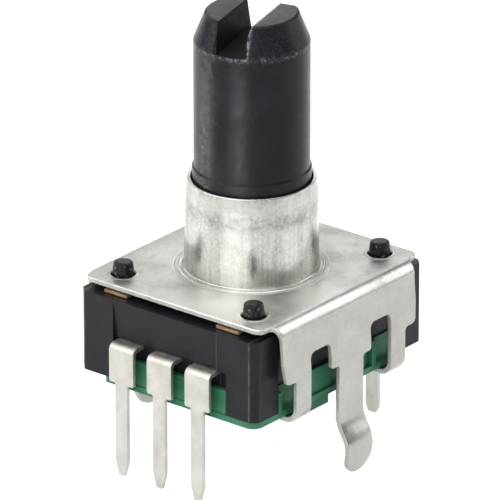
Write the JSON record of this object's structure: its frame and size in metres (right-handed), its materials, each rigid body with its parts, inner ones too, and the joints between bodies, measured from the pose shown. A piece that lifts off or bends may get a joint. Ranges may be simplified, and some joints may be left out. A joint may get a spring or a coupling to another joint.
{
  "type": "rotary encoder",
  "caption": "Board-mounted rotary encoder with a slotted D-shaft, a drawn steel collar, hook legs, signal pins and a push switch under the shaft.",
  "frame": {"origin": "on the shaft's axis, in the plane of the circuit board that the base stands on", "axes": "+Z along the shaft, away from the board; -Y towards the signal pins; +Y towards the switch pins; the hook legs are on the -X and +X sides"},
  "size_m": [0.0144, 0.0147, 0.0241],
  "materials": {
    "bracket_steel": "tin-plated pressed steel, satin, with fine drawing marks and scuffs",
    "black_moulding": "black glass-filled moulding, fine matt grain",
    "green_moulding": "green moulding, slightly glossy",
    "shaft_moulding": "bluish black moulding, satin, pale scuffs on the edges",
    "rotor_moulding": "natural acetal",
    "bronze_spring": "phosphor bronze strip, rolled",
    "contact_brass": "contact alloy, bright",
    "tinned_pin": "silver-plated strip, warm satin",
    "dome_steel": "bright spring steel"
  },
  "bodies": {
    "frame": {"bracket": "bracket_steel", "housing": "black_moulding", "switch_base": "green_moulding", "click_spring": "bronze_spring", "pin_a": "tinned_pin", "pin_c": "tinned_pin", "pin_b": "tinned_pin", "brush_a": "contact_brass", "brush_c": "contact_brass", "brush_b": "contact_brass", "switch_pin_d": "tinned_pin", "switch_pin_e": "tinned_pin", "switch_dome": "dome_steel"},
    "rotor": {"rotor": "rotor_moulding", "code_plate": "contact_brass"},
    "shaft": {"shaft": "shaft_moulding"},
    "push_plate": {"push_plate": "rotor_moulding"}
  },
  "joints": [
    {"name": "rotor_turn", "type": "hinge", "parent": "frame", "child": "rotor", "pos_m": [0, 0, 0.005], "axis": [0, 0, 1], "continuous": true},
    {"name": "shaft_push", "type": "slide", "parent": "rotor", "child": "shaft", "axis": [0, 0, -1], "range_m": [0, 0.0005], "stiffness_N_per_m": 600},
    {"name": "plate_push", "type": "slide", "parent": "frame", "child": "push_plate", "axis": [0, 0, -1], "range_m": [0, 0.0005], "deforming": ["switch_dome"]}
  ],
  "couplings": [
    {"joint": "plate_push", "follows": "shaft_push", "ratio": 1}
  ]
}
